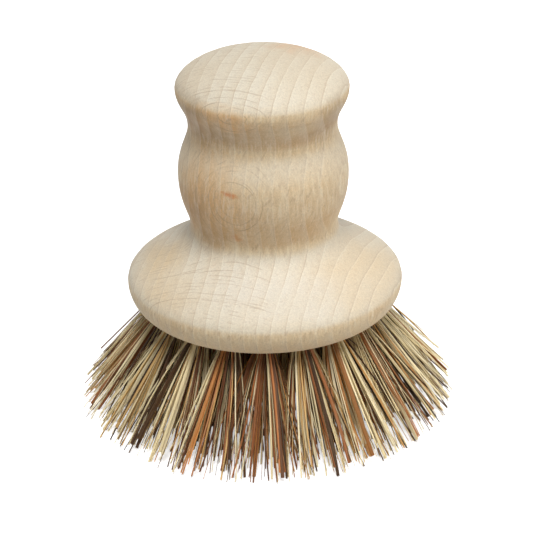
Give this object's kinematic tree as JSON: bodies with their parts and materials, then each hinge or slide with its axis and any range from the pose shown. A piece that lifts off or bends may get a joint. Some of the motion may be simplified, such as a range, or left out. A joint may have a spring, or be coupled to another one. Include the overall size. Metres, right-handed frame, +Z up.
{
  "type": "pot brush",
  "caption": "Round pot brush: a turned beech knob handle with stiff plant-fibre tufts fanning out of its underside.",
  "frame": {"origin": "on the handle's turning axis, in the plane of the trimmed bristle tips that the brush stands on", "axes": "+Z up along the turning axis, from the bristle tips to the knob; -Y towards the viewer of the front"},
  "size_m": [0.0879, 0.0883, 0.0868],
  "materials": {
    "beech": "matte",
    "plant_fibre": "matte",
    "anchor_steel": "satin"
  },
  "bodies": {
    "root": {"beech_handle": "beech", "tuft_inner_01": "plant_fibre", "tuft_inner_02": "plant_fibre", "tuft_inner_03": "plant_fibre", "tuft_middle_01": "plant_fibre", "tuft_middle_02": "plant_fibre", "tuft_middle_03": "plant_fibre", "tuft_middle_04": "plant_fibre", "tuft_middle_05": "plant_fibre", "tuft_middle_06": "plant_fibre", "tuft_middle_07": "plant_fibre", "tuft_middle_08": "plant_fibre", "tuft_outer_01": "plant_fibre", "tuft_outer_02": "plant_fibre", "tuft_outer_03": "plant_fibre", "tuft_outer_04": "plant_fibre", "tuft_outer_05": "plant_fibre", "tuft_outer_06": "plant_fibre", "tuft_outer_07": "plant_fibre", "tuft_outer_08": "plant_fibre", "tuft_outer_09": "plant_fibre", "tuft_outer_10": "plant_fibre", "tuft_outer_11": "plant_fibre", "tuft_outer_12": "plant_fibre", "tuft_outer_13": "plant_fibre", "tuft_outer_14": "plant_fibre", "tuft_outer_15": "plant_fibre", "tuft_outer_16": "plant_fibre", "tuft_outer_17": "plant_fibre", "tuft_outer_18": "plant_fibre", "anchor_inner_01": "anchor_steel", "anchor_inner_02": "anchor_steel", "anchor_inner_03": "anchor_steel", "anchor_middle_01": "anchor_steel", "anchor_middle_02": "anchor_steel", "anchor_middle_03": "anchor_steel", "anchor_middle_04": "anchor_steel", "anchor_middle_05": "anchor_steel", "anchor_middle_06": "anchor_steel", "anchor_middle_07": "anchor_steel", "anchor_middle_08": "anchor_steel", "anchor_outer_01": "anchor_steel", "anchor_outer_02": "anchor_steel", "anchor_outer_03": "anchor_steel", "anchor_outer_04": "anchor_steel", "anchor_outer_05": "anchor_steel", "anchor_outer_06": "anchor_steel", "anchor_outer_07": "anchor_steel", "anchor_outer_08": "anchor_steel", "anchor_outer_09": "anchor_steel", "anchor_outer_10": "anchor_steel", "anchor_outer_11": "anchor_steel", "anchor_outer_12": "anchor_steel", "anchor_outer_13": "anchor_steel", "anchor_outer_14": "anchor_steel", "anchor_outer_15": "anchor_steel", "anchor_outer_16": "anchor_steel", "anchor_outer_17": "anchor_steel", "anchor_outer_18": "anchor_steel"}
  },
  "joints": []
}
